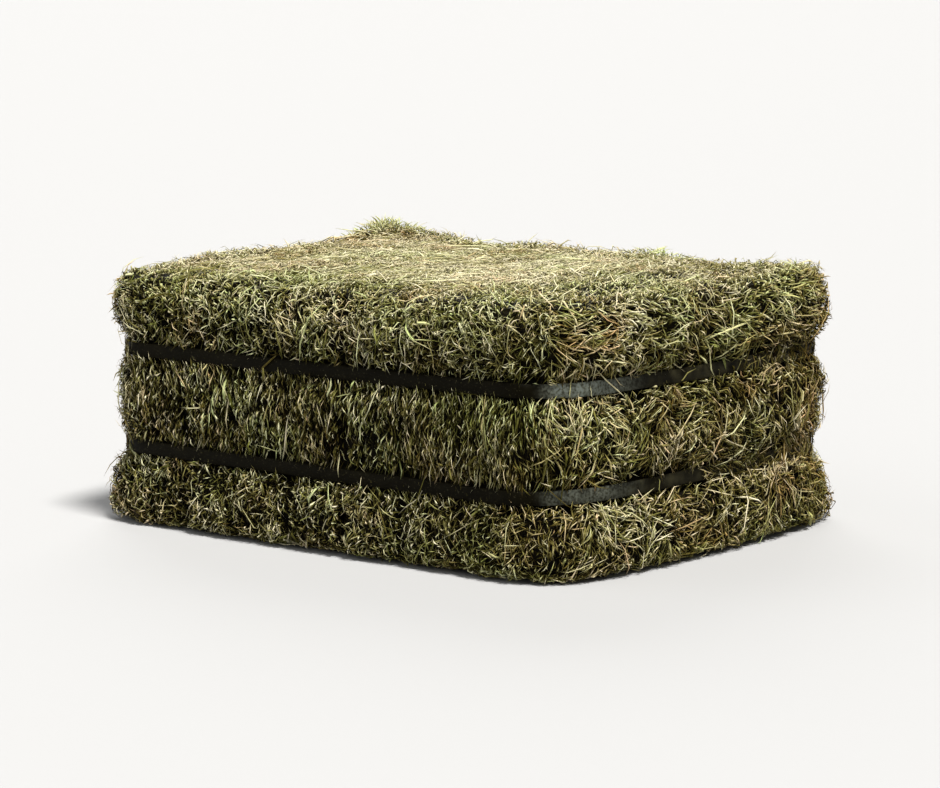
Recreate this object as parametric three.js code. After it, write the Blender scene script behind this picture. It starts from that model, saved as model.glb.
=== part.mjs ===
// A square hay bale: flakes of pressed hay standing side by side, cinched by two flat plastic straps.
// Millimetres. +X runs along the bale (the way the flakes stack), +Y across it, +Z up.
// The origin is the middle of the underside, which lies flat on the ground at z = 0.
import * as THREE from "three";

// Overall size of the hay, and how many flakes make it.
const LENGTH = 744;
const DEPTH = 590;
const HEIGHT = 310;
const FLAKES = 9;
const SEAM_GAP = 0.5;

// The two straps: height of each above the ground, and the section of the band.
const STRAPS = [
  { name: "strap_lower", z: 94, weldX: -45 },
  { name: "strap_upper", z: 211, weldX: 60 },
];
const STRAP_WIDTH = 16;
const STRAP_THICKNESS = 1;
const STRAP_CLEARANCE = 0.3;
const WELD_LENGTH = 65;
const WELD_STEP = 0.02;
const GROOVE_HALF = STRAP_WIDTH / 2 + 1.5;

// How far the hay swells past the line on which the straps lie, and how much of that each band of hay has:
// under the lower strap, between the straps and above the upper one.
const SIDE_SWELL = 13;
const END_SWELL = 21;
const CORNER_SWELL = 25;
const BAND_SHARES = [1, 0.68, 0.86];
const SWELL_REACH = 13;

// Plan of the cinched line: straight long sides, widely rounded corners and domed ends.
const CINCH_X = LENGTH / 2 - END_SWELL;
const CINCH_Y = DEPTH / 2 - SIDE_SWELL;
const CORNER_X = 56;
const CORNER_Y = 84;
const DOME_FRONT = 27;
const DOME_BACK = 20;
const DOME_POWER = 2.5;
const CURVE_START = CINCH_X - DOME_FRONT - CORNER_X;

// Rolled edges along the top and the underside, as height and as reach inwards.
const TOP_ROLL = { height: 42, reach: 36 };
const END_TOP_ROLL = { height: 32, reach: 25 };
const FOOT_ROLL = { height: 18, reach: 21 };

// Unevenness of the hay.
const LUMP = 5;
const LUMP_SIZE = 62;
const RAG = 2.6;
const RAG_SIZE = 21;
const SEAM_DIP = 4.5;
const FLAKE_STEP = 3;
const FLAT_TOP = { x: 225, y: 150, fade: 70 };

// A loose tuft that stands up on the far corner of the top, and the height from which the sides follow the rim.
const TUFT = { x: -300, y: 203, height: 17, reach: 42 };
const RIM_START = 236;

// Heights at which the sides are sampled: below, between and above the grooves of the straps.
const [LOWER, UPPER] = STRAPS.map((strap) => strap.z);
const LEVELS = [
  0, 3, 9, 18, 36, 56, 72, LOWER - GROOVE_HALF,
  LOWER + GROOVE_HALF, 118, 134, 152, 170, 186, UPPER - GROOVE_HALF,
  UPPER + GROOVE_HALF, RIM_START, 252, 268, 284, 297, 305, HEIGHT,
];

// Where the columns of the surface stand. A row across the top has as many spans as the stations of a dome.
const RING_SHARES = [0, 0.12, 0.37, 0.63, 0.88, 1];
const CORNER_ANGLES = [42, 64, 90];
const DOME_STATIONS = [160, 120, 80, 40, 0];
const DOME_SPANS = DOME_STATIONS.length - 1;
const TOP_SPANS = 2 * DOME_SPANS;
const COLUMN_STEP = 3;

// How far to either side of a point the direction of the plan is taken, in millimetres or as an angle.
const PLAN_STEP = 0.5;
const ANGLE_STEP = 0.01;

const HAY_COLOURS = [0x8d8450, 0x7f7a45, 0x988c58, 0x868049, 0x8f8650];
const STRAP_COLOUR = 0x24261f;

const degrees = THREE.MathUtils.degToRad;
const smooth = (t) => THREE.MathUtils.smoothstep(t, 0, 1);
const mix = THREE.MathUtils.lerp;

// A fixed pseudo-random number from 0 to 1 for a lattice point.
function lattice(i, j, k) {
  let h = (i * 374761393 + j * 668265263 + k * 2147483647) | 0;
  h = Math.imul(h ^ (h >>> 13), 1274126177);
  h = Math.imul(h ^ (h >>> 16), 2246822519);
  return ((h ^ (h >>> 15)) >>> 0) / 4294967295;
}

// Smooth noise from -1 to 1 with features of the given size.
function noise(x, y, z, size) {
  const at = [x, y, z].map((v) => v / size + 100);
  const cell = at.map(Math.floor);
  const [u, v, w] = at.map((value, axis) => smooth(value - cell[axis]));
  const corner = (a, b, c) => lattice(cell[0] + a, cell[1] + b, cell[2] + c);
  const edge = (b, c) => mix(corner(0, b, c), corner(1, b, c), u);
  const face = (c) => mix(edge(0, c), edge(1, c), v);
  return 2 * mix(face(0), face(1), w) - 1;
}

// The cinched line, from a long side round to the middle of an end. side is -1 at the front and 1 at the back.
// The bale is alike when turned half round, so the front of the -X end has the form of the back of the +X end.
function domeDrop(y, form) {
  const dome = form < 0 ? DOME_FRONT : DOME_BACK;
  return dome * Math.pow(Math.abs(y) / CINCH_Y, DOME_POWER);
}

function cornerPoint(angle, side) {
  const y = CINCH_Y - CORNER_Y * (1 - Math.cos(angle));
  const x = CINCH_X - domeDrop(y, side) - CORNER_X * (1 - Math.sin(angle));
  return [x, side * y];
}

function domePoint(y, side) {
  return [CINCH_X - domeDrop(y, side), side * y];
}

// The point of a long side or of its corner at a given x.
function sidePoint(x, side) {
  const form = x < 0 ? -side : side;
  if (Math.abs(x) <= cornerPoint(0, form)[0]) return [x, side * CINCH_Y];
  let low = 0;
  let high = Math.PI / 2;
  for (let step = 0; step < 40; step += 1) {
    const middle = (low + high) / 2;
    if (cornerPoint(middle, form)[0] < Math.abs(x)) low = middle;
    else high = middle;
  }
  return [x, side * Math.abs(cornerPoint(low, form)[1])];
}

// A column of the surface: its place in plan, the way outwards there, how much of an end it is (0 to 1),
// and how far its hay swells.
function column(point, before, after, end, swell) {
  const along = new THREE.Vector2(after[0] - before[0], after[1] - before[1]).normalize();
  return { x: point[0], y: point[1], nx: along.y, ny: -along.x, end, swell };
}

function sideColumn(x, side) {
  const before = sidePoint(x + side * PLAN_STEP, side);
  const after = sidePoint(x - side * PLAN_STEP, side);
  const end = smooth((Math.abs(x) - CURVE_START) / CORNER_X);
  const swell = mix(SIDE_SWELL, CORNER_SWELL, end);
  return { ...column(sidePoint(x, side), before, after, end, swell), keepsX: true };
}

function endColumn(pointAt, parameter, step, side) {
  const before = pointAt(parameter + side * step, side);
  const after = pointAt(parameter - side * step, side);
  const at = pointAt(parameter, side);
  const swell = mix(END_SWELL, CORNER_SWELL, smooth(Math.abs(at[1]) / CINCH_Y));
  return column(at, before, after, 1, swell);
}

// How much of its swell the hay has at a height, before lumps: 0 in the groove of a strap.
function swellShare(z) {
  const band = STRAPS.filter((strap) => z > strap.z).length;
  const gaps = STRAPS.map((strap) => Math.max(Math.abs(z - strap.z) - GROOVE_HALF, 0));
  return gaps.reduce((share, gap) => share * (1 - Math.exp(-gap / SWELL_REACH)), BAND_SHARES[band]);
}

// How far a rolled edge draws the side in, where share is how far the point is up or down that edge (0 to 1).
const rounding = (reach, share) => reach * (1 - Math.sqrt(1 - Math.min(share, 1) ** 2));

function roll(z, end) {
  const crown = mix(TOP_ROLL.height, END_TOP_ROLL.height, end);
  const rise = Math.max(z - (HEIGHT - crown), 0) / crown;
  const fall = Math.max(FOOT_ROLL.height - z, 0) / FOOT_ROLL.height;
  return rounding(mix(TOP_ROLL.reach, END_TOP_ROLL.reach, end), rise) + rounding(FOOT_ROLL.reach, fall);
}

// Lumps of the hay at a point, in millimetres outwards. Each flake also stands a little in or out as a whole.
function lumps(x, y, z, flake) {
  const own = FLAKE_STEP * (2 * lattice(flake.index, y < 0 ? 1 : 2, 7) - 1);
  const at = [x * flake.turn, y * flake.turn, z];
  return LUMP * noise(...at, LUMP_SIZE) + RAG * noise(...at, RAG_SIZE) + own;
}

// One point of the side of a flake: in a column, at a height. dip is 1 where the flake meets its neighbour.
// leastX keeps the rolled edge of an end flake from crossing its seam. The rims of the underside and of the
// ends' top are even in plan, so that the faces inside them don't fold.
function sideVertex(col, z, dip, flake, leastX) {
  const even = smooth(z / FOOT_ROLL.height) * (1 - col.end * smooth((z - RIM_START) / (HEIGHT - RIM_START)));
  const uneven = lumps(col.x, col.y, z, flake) * even - SEAM_DIP * dip;
  const out = Math.min(col.swell - LUMP + uneven, col.swell) * swellShare(z) - roll(z, col.end);
  if (col.keepsX) return new THREE.Vector3(col.x, col.y + out / col.ny, z);
  return new THREE.Vector3(Math.max(col.x + col.nx * out, leastX), col.y + col.ny * out, z);
}

// Height of the top at a point. Its middle is pressed flat. Its loose rim dips where two flakes meet, and
// bears the tuft. A flake that is built turned half round has its points turned back first.
function topHeight(x, y, dip, flake) {
  const beyond = Math.max(Math.abs(x) - FLAT_TOP.x, Math.abs(y) - FLAT_TOP.y);
  const loose = smooth(beyond / FLAT_TOP.fade);
  const away = Math.hypot(x * flake.turn - TUFT.x, y * flake.turn - TUFT.y) / TUFT.reach;
  const tuft = TUFT.height * Math.exp(-(away ** 2));
  return HEIGHT + tuft - loose * (SEAM_DIP * dip + LUMP - Math.min(lumps(x, y, HEIGHT, flake), LUMP));
}

// Collects triangles over shared vertices and turns them into a closed mesh.
class Shell {
  constructor() {
    this.points = [];
    this.faces = [];
  }

  add(point) {
    this.points.push(point);
    return this.points.length - 1;
  }

  triangle(a, b, c) {
    if (a !== b && b !== c && c !== a) this.faces.push(a, b, c);
  }

  quad(a, b, c, d) {
    this.triangle(a, b, c);
    this.triangle(a, c, d);
  }

  geometry() {
    const flat = this.points.flatMap((p) => [p.x, p.y, p.z]);
    const made = new THREE.BufferGeometry();
    made.setAttribute("position", new THREE.Float32BufferAttribute(flat, 3));
    made.setIndex(this.faces);
    made.computeVertexNormals();
    return made;
  }
}

// The columns of one flake, front and back in pairs, from its inner seam outwards.
function flakeColumns(from, to, isEnd) {
  const rings = isEnd ? [0] : RING_SHARES;
  return [-1, 1].map((side) => {
    const cols = rings.map((share) => sideColumn(mix(from, to, share), side));
    if (!isEnd) return cols;
    CORNER_ANGLES.forEach((angle) => {
      cols.push(endColumn(cornerPoint, degrees(angle), ANGLE_STEP, side));
    });
    DOME_STATIONS.forEach((y) => {
      const tip = { x: CINCH_X, y: 0, nx: 1, ny: 0, end: 1, swell: END_SWELL };
      cols.push(y === 0 ? tip : endColumn(domePoint, y, -PLAN_STEP, side));
    });
    return cols;
  });
}

// Fills the planar face where two flakes meet, as a fan round its middle.
function seamFace(shell, rim, x, outwards) {
  const middle = shell.add(new THREE.Vector3(x, 0, HEIGHT / 2));
  rim.forEach((corner, i) => {
    const next = rim[(i + 1) % rim.length];
    if (outwards) shell.triangle(middle, corner, next);
    else shell.triangle(middle, next, corner);
  });
}

// One flake between two seams. An end flake has one seam and a domed face towards +X.
function flakeGeometry(flake, from, to) {
  const shell = new Shell();
  const [front, back] = flakeColumns(from, to, flake.isEnd);
  const last = front.length - 1;
  const top = LEVELS.length - 1;
  const dipAt = (j) => (j === 0 || (!flake.isEnd && j === last) ? 1 : 0);

  // The upper part of each column rises and sinks with the rim of the top, so that both meet.
  const line = (col, j) => {
    const points = LEVELS.map((z) => sideVertex(col, z, dipAt(j), flake, from + COLUMN_STEP * j));
    const rise = topHeight(points[top].x, points[top].y, dipAt(j), flake) - HEIGHT;
    points.forEach((point) => {
      point.z += rise * smooth((point.z - RIM_START) / (HEIGHT - RIM_START));
    });
    return points.map((point) => shell.add(point));
  };
  const frontGrid = front.map(line);
  const backGrid = back.map((col, j) => (
    flake.isEnd && j === last ? frontGrid[last] : line(col, j)
  ));

  // Rows of points across the top or the underside. The last row of an end flake is the rim of its dome.
  const lastRow = flake.isEnd ? last - DOME_SPANS : last;
  const across = (level) => {
    const rows = frontGrid.slice(0, lastRow + 1).map((ids, j) => {
      const [a, b] = [ids[level], backGrid[j][level]];
      const row = [a];
      for (let s = 1; s < TOP_SPANS; s += 1) {
        const point = shell.points[a].clone().lerp(shell.points[b], s / TOP_SPANS);
        if (level === top) point.z = topHeight(point.x, point.y, dipAt(j), flake);
        row.push(shell.add(point));
      }
      return [...row, b];
    });
    if (!flake.isEnd) return rows;
    const dome = [...frontGrid.slice(lastRow), ...backGrid.slice(lastRow, last).reverse()];
    return [...rows, dome.map((ids) => ids[level])];
  };
  const topRows = across(top);
  const footRows = across(0);

  for (let j = 0; j < last; j += 1) {
    for (let k = 0; k < top; k += 1) {
      shell.quad(frontGrid[j][k], frontGrid[j + 1][k], frontGrid[j + 1][k + 1], frontGrid[j][k + 1]);
      shell.quad(backGrid[j][k], backGrid[j][k + 1], backGrid[j + 1][k + 1], backGrid[j + 1][k]);
    }
  }
  for (let j = 0; j + 1 < topRows.length; j += 1) {
    for (let s = 0; s < TOP_SPANS; s += 1) {
      shell.quad(topRows[j][s], topRows[j + 1][s], topRows[j + 1][s + 1], topRows[j][s + 1]);
      shell.quad(footRows[j][s], footRows[j][s + 1], footRows[j + 1][s + 1], footRows[j + 1][s]);
    }
  }

  const rimAt = (j) => [
    ...footRows[j],
    ...backGrid[j].slice(1, top),
    ...[...topRows[j]].reverse(),
    ...frontGrid[j].slice(1, top).reverse(),
  ];
  seamFace(shell, rimAt(0), from, false);
  if (!flake.isEnd) seamFace(shell, rimAt(last), to, true);
  return shell.geometry();
}

// The line on which the straps lie, as columns right round the bale, anticlockwise seen from above.
function strapColumns(weldX) {
  const pitch = LENGTH / FLAKES;
  const seam = pitch * (FLAKES / 2 - 1);
  const inner = pitch * (FLAKES / 2 - 2) + SEAM_GAP / 2;
  const outer = seam - SEAM_GAP / 2;
  const rings = RING_SHARES.map((share) => mix(inner, outer, share));
  const [front, back] = [-1, 1].map((side) => [
    ...rings.map((x) => sideColumn(x, side)),
    ...flakeColumns(seam + SEAM_GAP / 2, 0, true)[side < 0 ? 0 : 1],
  ]);
  const halfTurn = (col) => ({ ...col, x: -col.x, y: -col.y, nx: -col.nx, ny: -col.ny });
  const rightHalf = [...front, ...[...back].reverse().slice(1)];
  const leftHalf = rightHalf.map(halfTurn);
  const ends = [weldX + WELD_LENGTH / 2, weldX - WELD_LENGTH / 2];
  const weld = [
    { ...sideColumn(ends[0] + WELD_STEP, 1), layers: 1 },
    { ...sideColumn(ends[0], 1), layers: 2 },
    { ...sideColumn(ends[1], 1), layers: 2 },
    { ...sideColumn(ends[1] - WELD_STEP, 1), layers: 1 },
  ];
  return [...rightHalf, ...weld, ...leftHalf];
}

// A closed flat band round the bale. Its ends overlap for a short stretch at the back, where they are welded.
function strapGeometry({ z, weldX }) {
  const shell = new Shell();
  const rings = strapColumns(weldX).map((col) => {
    const inner = STRAP_CLEARANCE;
    const outer = inner + STRAP_THICKNESS * (col.layers ?? 1);
    const half = STRAP_WIDTH / 2;
    return [[inner, -half], [outer, -half], [outer, half], [inner, half]].map(([out, rise]) => (
      shell.add(new THREE.Vector3(col.x + col.nx * out, col.y + col.ny * out, z + rise))
    ));
  });
  rings.forEach((ring, i) => {
    const next = rings[(i + 1) % rings.length];
    ring.forEach((corner, k) => {
      const beside = (k + 1) % ring.length;
      shell.quad(corner, next[k], next[beside], ring[beside]);
    });
  });
  return shell.geometry();
}

const bale = new THREE.Group();

const hay = HAY_COLOURS.map((color) => (
  new THREE.MeshStandardMaterial({ color, roughness: 0.9, metalness: 0 })
));
for (let i = 0; i < FLAKES; i += 1) {
  const pitch = LENGTH / FLAKES;
  const from = i * pitch - LENGTH / 2 + SEAM_GAP / 2;
  const to = from + pitch - SEAM_GAP;
  const turn = i === 0 ? -1 : 1;
  const flake = { index: i, turn, isEnd: i === 0 || i === FLAKES - 1 };
  const geometry = turn < 0
    ? flakeGeometry(flake, -to, -from).rotateZ(Math.PI)
    : flakeGeometry(flake, from, to);
  const pad = new THREE.Mesh(geometry, hay[i % hay.length]);
  pad.name = `flake_${String(i + 1).padStart(2, "0")}`;
  bale.add(pad);
}

const plastic = new THREE.MeshStandardMaterial({
  color: STRAP_COLOUR,
  roughness: 0.45,
  metalness: 0,
});
STRAPS.forEach((strap) => {
  const band = new THREE.Mesh(strapGeometry(strap), plastic);
  band.name = strap.name;
  bale.add(band);
});

export default bale;
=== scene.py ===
"""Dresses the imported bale: every flake becomes a matted core of hay with stems and leaves, and each strap an
embossed plastic band. The stems are real mesh, grown over the surface of the flakes. Lengths are in metres.
The camera and the lights are turned in degrees, and the stems in radians."""
import math

import bmesh
import bpy
import numpy as np
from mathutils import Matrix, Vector
from mathutils.bvhtree import BVHTree


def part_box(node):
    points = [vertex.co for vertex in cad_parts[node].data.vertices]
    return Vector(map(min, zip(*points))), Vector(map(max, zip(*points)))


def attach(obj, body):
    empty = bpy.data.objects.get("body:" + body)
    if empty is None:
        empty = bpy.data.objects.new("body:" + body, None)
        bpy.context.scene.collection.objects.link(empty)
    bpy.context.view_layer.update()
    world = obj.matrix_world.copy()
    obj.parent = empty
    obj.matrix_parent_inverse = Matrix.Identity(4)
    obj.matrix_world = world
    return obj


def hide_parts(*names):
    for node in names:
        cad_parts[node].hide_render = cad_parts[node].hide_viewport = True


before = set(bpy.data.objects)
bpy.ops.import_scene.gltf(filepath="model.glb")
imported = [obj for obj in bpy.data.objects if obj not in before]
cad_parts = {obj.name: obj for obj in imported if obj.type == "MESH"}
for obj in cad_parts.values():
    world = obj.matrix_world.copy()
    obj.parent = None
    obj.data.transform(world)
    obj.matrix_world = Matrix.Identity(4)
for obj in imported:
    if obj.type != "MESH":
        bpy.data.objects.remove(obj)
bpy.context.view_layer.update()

# The camera stands where the photograph's did. The lens and the sensor are in millimetres.
VIEW_AZIMUTH = 38.3
VIEW_ELEVATION = 8.4
VIEW_DISTANCE = 3.82
VIEW_LENS = 122.0
VIEW_SENSOR = 36.0
AIM_HEIGHT = 0.15

# Room for the straps, measured up or down from the middle of one. A stem ends BAND_HALF away, dipping
# STRAP_DIP under the skin, or hangs over the edge by up to OVERHANG. A stem that lies over a strap is at
# least STRAP_COVER above the skin there, and within BAND_MARGIN beside it.
BAND_HALF = 0.0082
BAND_MARGIN = 0.003
OVERHANG = 0.0085
STRAP_COVER = 0.0027
STRAP_DIP = 0.003

# How deep the matted core lies under the skin: on the sides, and on the top and underside. It isn't drawn
# in within HELD_HALF of a strap's middle, and beyond that sinks to its full depth over HELD_FADE.
CORE_DEPTH = 0.01
FLAT_CORE_DEPTH = 0.0055
CORE_RIPPLE = 0.0022
CORE_CUTS = 2
HELD_HALF = 0.0035
HELD_FADE = 0.004

# How far over the ground the core stays, and the stems.
FLOOR_GAP = 0.0006
STEM_GAP = FLOOR_GAP + 0.0022

# Stems and leaves. density is how many there are to a square metre of long side, end and top. lift is how
# far from the surface of the flake a strand runs, from its root to its tip, and rise is how much that
# varies. keel is how thick it is for its width, and curl how far it bends sideways for its length. light is
# how much lighter it is than the rest. Where they are given, green is how much greener it is, and crossing
# the share of them that may lie over a strap.
STRANDS = {
    # The mat lies deepest, and its lower lightness is painted shade, like the dark of the core.
    "mat": dict(
        density=(34000, 28000, 30000), length=(0.01, 0.028), width=(0.002, 0.0042), keel=0.2,
        lift=(-0.0105, -0.0072, -0.0105), rise=0.0014, curl=0.09, light=-0.16),
    "combed": dict(
        density=(98000, 24000, 42000), length=(0.008, 0.032), width=(0.001, 0.0025), keel=0.24,
        lift=(-0.0085, -0.0024, -0.0075), rise=0.0026, curl=0.05, light=0.0),
    "pressed": dict(
        density=(3500, 17000, 12000), length=(0.018, 0.056), width=(0.0011, 0.0025), keel=0.24,
        lift=(-0.0085, -0.0035, -0.003, -0.008), rise=0.0024, curl=0.07, light=-0.02),
    "loose": dict(
        density=(7500, 17000, 9000), length=(0.013, 0.048), width=(0.001, 0.0021), keel=0.3, crossing=0.01,
        lift=(-0.0095, -0.0035, 0.0, 0.002), rise=0.003, curl=0.15, light=0.06),
    "stray": dict(
        density=(700, 1500, 1300), length=(0.026, 0.07), width=(0.001, 0.0019), keel=0.4, crossing=0.15,
        lift=(-0.009, -0.0005, 0.004, 0.009), rise=0.003, curl=0.14, light=0.16),
    "stalk": dict(
        density=(110, 600, 260), length=(0.05, 0.12), width=(0.0015, 0.0027), keel=0.6, crossing=0.45,
        lift=(-0.006, 0.0, 0.001, -0.002), rise=0.0025, curl=0.06, light=0.16),
    "blade": dict(
        density=(420, 300, 160), length=(0.018, 0.048), width=(0.003, 0.0054), keel=0.1, crossing=0.05,
        lift=(-0.008, -0.001, 0.0005, -0.006), rise=0.0025, curl=0.14, light=0.13, green=0.3),
    "leaf": dict(
        density=(13000, 13000, 11000), length=(0.005, 0.014), width=(0.0016, 0.0038), keel=0.16,
        lift=(-0.007, -0.001, 0.001), rise=0.003, curl=0.2, light=0.02),
}

# Broad stems pressed flat against the ground.
GROUND_KIND = dict(
    density=(21000,) * 3, length=(0.014, 0.042), width=(0.0022, 0.0048), keel=0.16,
    lift=(-0.0095, -0.003, -0.008), rise=0.002, curl=0.08, light=0.04)
UNDERSIDE_SHARE = 0.22

# Seeds of random numbers: for the bale, and for the GROUND_KIND of each flake.
BALE_SEED = 7
GROUND_SEED = 900

# Shares of the strands: those whose ends hang over a strap, those that lie over it where it is lost under
# hay, and those turned end for end. STEEP is how upright a strand is to lie over a strap elsewhere.
HANGING = 0.75
BURIED = 0.85
REVERSED = 0.5
STEEP = 0.55

# How high a strand may reach over the pressed top, and the tufts that stand on its rim: the big one on the
# far corner and a thin one on the rear rim. Each has its x, its y, its size and its strength.
TOP_REACH = 0.013
TUFTS = [(-0.3, 0.205, 0.044, 1.0), (0.095, 0.25, 0.034, 0.7)]
TUFT_HEIGHT = 0.014
TUFT_DENSITY = 60000
TUFT_RISE = (0.008, 0.02)
TUFT_LEAN = 0.01
TUFT_GREEN = 0.25
TUFT_BROWN_SHARE = 0.4

# The pressed middle of the top: its centre along the bale, its half length and width, and its soft rim.
MIDDLE_CENTRE = -0.055
MIDDLE_HALF = (0.31, 0.255)
MIDDLE_FADE = (0.13, 0.12)

# Ramps, as where each starts and its width: hay pressed flat along a long side towards the corner that the
# straps were drawn round, stems lying level high on an end, the pale shoulder, partly painted light, the
# further part of an end, its clumps, and rusty patches. The ramps of painted shade, by a buried strap and
# low down, fall, and end at the first number.
DRAWN = (0.06, 0.16)
LEVEL = (0.215, 0.03)
SHOULDER = (0.228, 0.065)
FURTHER = (0.12, 0.12)
CLUMPED = (-0.25, 0.4)
RUSTED = (0.35, 0.25)
GROOVE_SHADE = (0.013, 0.006)
FOOT_SHADE = (0.085, 0.04)

# The paler hay of the drawn corner, partly worn and partly painted light: its middle, its size, and the
# patches under the two straps, as the height, half height and strength of each.
PALE_MIDDLE = (0.345, -0.215)
PALE_SIZE = 0.06
PALE_PATCHES = ((0.184, 0.034, 1.0), (0.06, 0.026, 0.6))

# Where the lower and the upper strap start to be lost under loose hay, across the end, and how softly.
BURIAL_START = (-0.045, 0.02)
BURIAL_FADE = 0.11

# The turn of stems that lie level, and the corner under the lower strap, where stems fan out.
LEVEL_TURN = 1.35
FAN_CORNER = -0.225
FAN_SIZE = 0.075

# How far from a seam between two flakes it is felt, and how deep the stems lie in it.
SEAM_HALF = 0.0045
SEAM_DEPTH = 0.0018

# Layers of noise, each as its strength, the size of its features and its seed.
MIDDLE_WANDER = ((0.03, 0.075, 51), (0.022, 0.03, 53))
BURIAL_WANDER = ((0.05, 0.05, 52),)
END_WANDER = ((0.3, 0.022, 17),)
LEAN = ((1.0, 0.045, 5),)
SWIRL = ((2.6, 0.06, 3), (0.9, 0.026, 4))
LEVEL_WANDER = ((0.55, 0.05, 6),)
LUMPS = ((0.003, 0.035, 8), (0.002, 0.014, 9))
SPARSE = ((1.0, 0.014, 31),)
LIGHT_PATCHES = ((0.07, 0.05, 11), (0.042, 0.018, 12), (0.049, 0.11, 16))
CLUMPS = ((1.0, 0.034, 18),)
RUST = ((1.0, 0.026, 15),)
GREEN_PATCHES = ((0.38, 0.06, 13),)
BROWN_PATCHES = ((0.36, 0.04, 14),)

# Lightness, greenness and brownness of the core: a base and a layer of noise each. Its dark lightness is
# mostly painted shade, for the shade between the stems over it; the next two lift it on the pressed middle
# of the top and on the underside.
CORE_TONES = ((0.04, (0.04, 0.03, 23)), (0.3, (0.3, 0.06, 13)), (0.2, (0.3, 0.04, 14)))
CORE_MIDDLE_LIGHT = 0.46
CORE_UNDER_LIGHT = 0.27

# What the regions of the bale add to the way strands run: how far they lean with the noise, how widely they
# turn from it, and what share of them lies anyhow.
GRAIN_LEAN = dict(base=0.18, flat=0.8, tangled=0.55)
GRAIN_SPREAD = dict(base=0.16, end=0.22, flat=0.45, tangled=0.52)
GRAIN_WILD = dict(base=0.07, end=0.15, flat=0.12, tangled=0.22)

# What the regions add to the lightness of strands, to how much it varies, to the share of the painted inner
# shade that they are spared, and to their greenness and brownness. In the lightness, the darkening by a
# buried strap and low down is painted shade, and the paler shoulder and pale patches are partly painted light.
LIGHT = dict(base=0.58, long_side=0.046, end=0.055, top=0.22, middle=0.13, shoulder=0.23, pale=0.36,
             under=0.13, clump=-0.1, groove_shade=-0.16, foot_shade=-0.024)
LIGHT_SPREAD = dict(base=0.35, middle=-0.13, top=-0.12, drawn=-0.13, end=-0.09, long_side=0.04, under=-0.1)
LIT_THROUGH = dict(base=0.0, middle=0.7, drawn=0.1, pale=0.35, under=0.6)
GREENNESS = dict(base=0.22, shoulder=0.24, middle=-0.22)
BROWNNESS = dict(base=0.13, end=0.15, top=-0.1, rust=0.25, end_rust=0.14, further=0.16, clump=0.34,
                 far_shoulder=0.14)

# How much greenness and brownness vary from strand to strand, and lightness and brownness from flake to
# flake, with a seed.
GREEN_SPREAD = 0.22
BROWN_SPREAD = 0.2
FLAKE_LIGHT = (0.035, 41)
FLAKE_BROWN = (0.07, 42)
SEAM_LIGHT = -0.09
DARKEST = 0.02

# Painted shade: how much strands are darkened towards the inside, and how deep under the skin they are
# darkest.
SHADE = 0.5
SHADE_DEPTH = 0.0085

# Colours of dried hay, dark to light, as linear red, green and blue, and the tints that multiply them as a
# strand gets greener or browner.
HAY_RAMP = [
    (0.00, (0.0014, 0.001, 0.0003)),
    (0.22, (0.018, 0.0135, 0.002)),
    (0.45, (0.106, 0.092, 0.0205)),
    (0.68, (0.265, 0.244, 0.09)),
    (0.86, (0.5, 0.458, 0.275)),
    (1.00, (0.73, 0.675, 0.475)),
]
GREEN = (0.68, 0.86, 0.5, 1.0)
BROWN = (0.76, 0.53, 0.38, 1.0)

# Colours of the plastic: clean, under dust with a painted sheen, and scuffed grey with a painted highlight.
STRAP_BLACK = (0.0032, 0.0025, 0.0006, 1.0)
STRAP_DUST_SHEEN = (0.112, 0.102, 0.055, 1.0)
STRAP_SCUFFED_HIGHLIGHT = (0.15, 0.176, 0.162, 1.0)
FLOOR_COLOUR = (0.352, 0.356, 0.364, 1.0)

# The straps: steps along each, thickness, the rays and smoothing passes that find the way round, length and
# place along the back of the lap, how scuffed and highlighted each is, and the ramps of the scuffs with their
# painted highlight and of the dust with its painted sheen.
STRAP_STATIONS = 420
STRAP_THICKNESS = 0.0009
STRAP_RAYS = 1440
STRAP_SMOOTHINGS = 12
WELD_LENGTH = 0.065
WELD_FADE = 0.012
WELD_MIDDLE = {"strap_lower": -0.045, "strap_upper": 0.06}
SCUFF_AND_HIGHLIGHT_STRENGTH = {"strap_lower": 0.45, "strap_upper": 1.0}
SCUFF_AND_HIGHLIGHT_ALONG = (0.3, 0.02)
SCUFF_AND_HIGHLIGHT_ACROSS = (-0.215, 0.1)
DUST_AND_SHEEN = (0.29, 0.04)
WEAVE_TURNS = 2800.0

# The bake square: cores lie under ATLAS_FLOOR, and strands above it, each in a cell with a margin.
ATLAS_FLOOR = 0.25
CELL_MARGIN = 0.1

# Distant lights: name, azimuth, elevation, strength, softness and colour.
LIGHTS = [
    ("key", 72.0, 66.0, 7.0, 14.0, (1.0, 0.97, 0.92)),
    ("fill", 30.0, 24.0, 0.35, 50.0, (0.98, 0.99, 1.0)),
    ("left", 306.0, 26.0, 0.65, 50.0, (0.98, 0.99, 1.0)),
    ("back", 222.0, 32.0, 1.6, 40.0, (1.0, 0.99, 0.97)),
]
SKY_COLOUR = (1.0, 0.985, 0.95, 1.0)
SKY_STRENGTH = 0.2

# The lattice's hash: odd factors of the axes and the seed, and shifts and factors of its mixing steps.
HASH_AXES = (374761393, 668265263, 2147483647)
HASH_SEED = 974711
HASH_STEPS = ((13, 1274126177), (16, 2246822519))
HASH_LAST_SHIFT = 15
LOW_32_BITS = 0xFFFFFFFF
LOW_24_BITS = 0xFFFFFF
LATTICE_SHIFT = 64.0

# Below this, two places are one, and a length counts as none.
SAME_PLACE = 1e-5
TINY = 1e-6


def smooth(values):
    clipped = np.clip(values, 0.0, 1.0)
    return clipped * clipped * (3.0 - 2.0 * clipped)


def rising(values, start, width):
    """0 up to start, then rising to 1 over the width."""
    return smooth((values - start) / width)


def falling(values, end, width):
    """1 up to the width before the end, then falling to 0 there."""
    return smooth((end - values) / width)


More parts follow.
